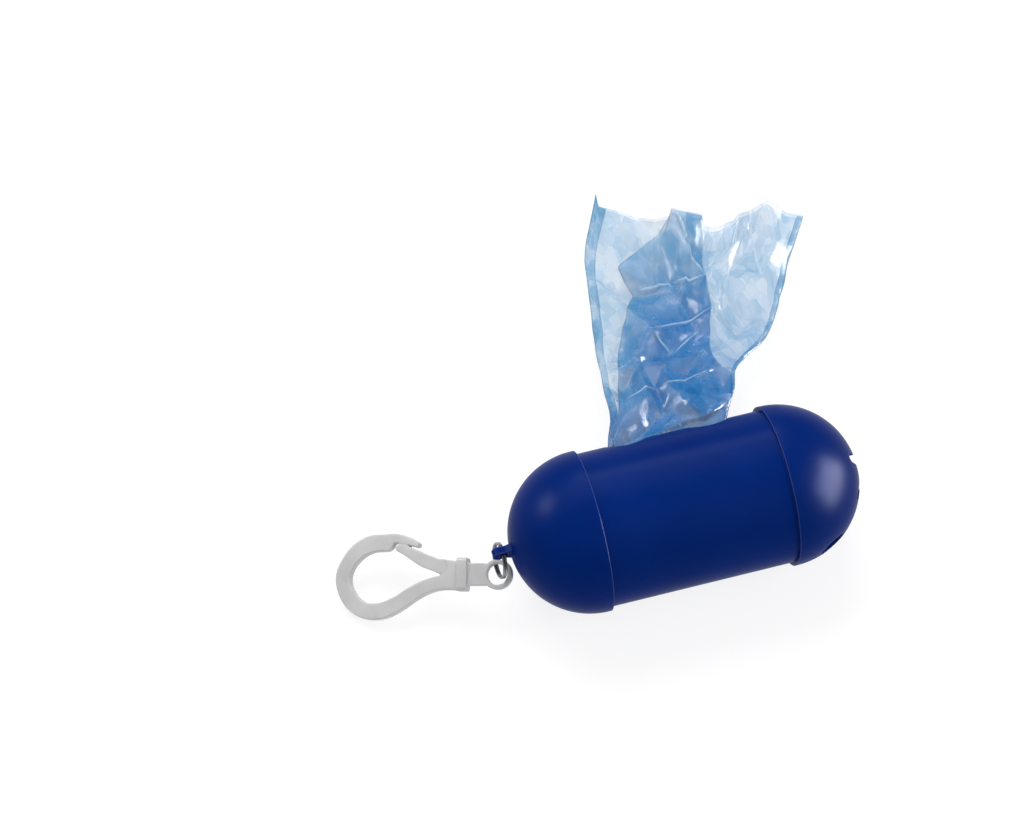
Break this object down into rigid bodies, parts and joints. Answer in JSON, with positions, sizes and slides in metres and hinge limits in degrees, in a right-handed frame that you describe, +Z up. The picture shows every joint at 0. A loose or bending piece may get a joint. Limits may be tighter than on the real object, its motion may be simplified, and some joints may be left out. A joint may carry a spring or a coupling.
{
  "type": "dog waste bag dispenser",
  "caption": "Pocket capsule with domed ends that holds a roll of bags, with a bone-shaped window, a drawn bag, a split ring and a plastic snap hook.",
  "frame": {"origin": "on the table, directly under the middle of the tube", "axes": "+X along the capsule's axis towards the cap with the star-shaped opening, +Y towards the window and the drawn bag, +Z up"},
  "size_m": [0.1494, 0.1249, 0.042],
  "materials": {
    "blue_shell": "semi-gloss, fine moulded grain",
    "card": "matt wound card",
    "film": "thin crinkled film, satin",
    "steel": "plated spring steel",
    "white_plastic": "smooth acetal, satin"
  },
  "bodies": {
    "capsule": {"body_tube": "blue_shell", "hook_cap": "blue_shell", "bag_lead": "film"},
    "star_cap": {"star_cap": "blue_shell"},
    "roll": {"roll_core": "card", "bag_roll": "film"},
    "bag": {"drawn_bag": "film"},
    "ring": {"split_ring": "steel"},
    "hook": {"snap_hook": "white_plastic"},
    "gate": {"hook_gate": "white_plastic"}
  },
  "joints": [
    {"name": "cap_pull", "type": "slide", "parent": "capsule", "child": "star_cap", "axis": [1, 0, 0], "range_m": [0, 0.03]},
    {"name": "roll_spin", "type": "hinge", "parent": "capsule", "child": "roll", "pos_m": [0, 0, 0.0164], "axis": [-1, 0, 0], "range_deg": [0, 360]},
    {"name": "bag_pull", "type": "slide", "parent": "capsule", "child": "bag", "axis": [0.3584, 0.9336, 0], "range_m": [0, 0.085]},
    {"name": "ring_swing", "type": "hinge", "parent": "capsule", "child": "ring", "pos_m": [-0.048, 0, 0.021], "axis": [0, 1, 0], "range_deg": [-5, 90]},
    {"name": "hook_swing", "type": "hinge", "parent": "ring", "child": "hook", "pos_m": [-0.04933, -0.00318, 0.01343], "axis": [-0.1228, 0.7071, -0.6964], "range_deg": [-18, 18]},
    {"name": "gate_flex", "type": "hinge", "parent": "hook", "child": "gate", "pos_m": [-0.06313, 0.00488, 0.01083], "axis": [-0.3202, -0.2522, 0.9132], "range_deg": [0, 22], "stiffness_Nm_per_rad": 0.02}
  ],
  "couplings": [
    {"joint": "bag_pull", "follows": "roll_spin", "m_per_rad": 0.0135}
  ]
}
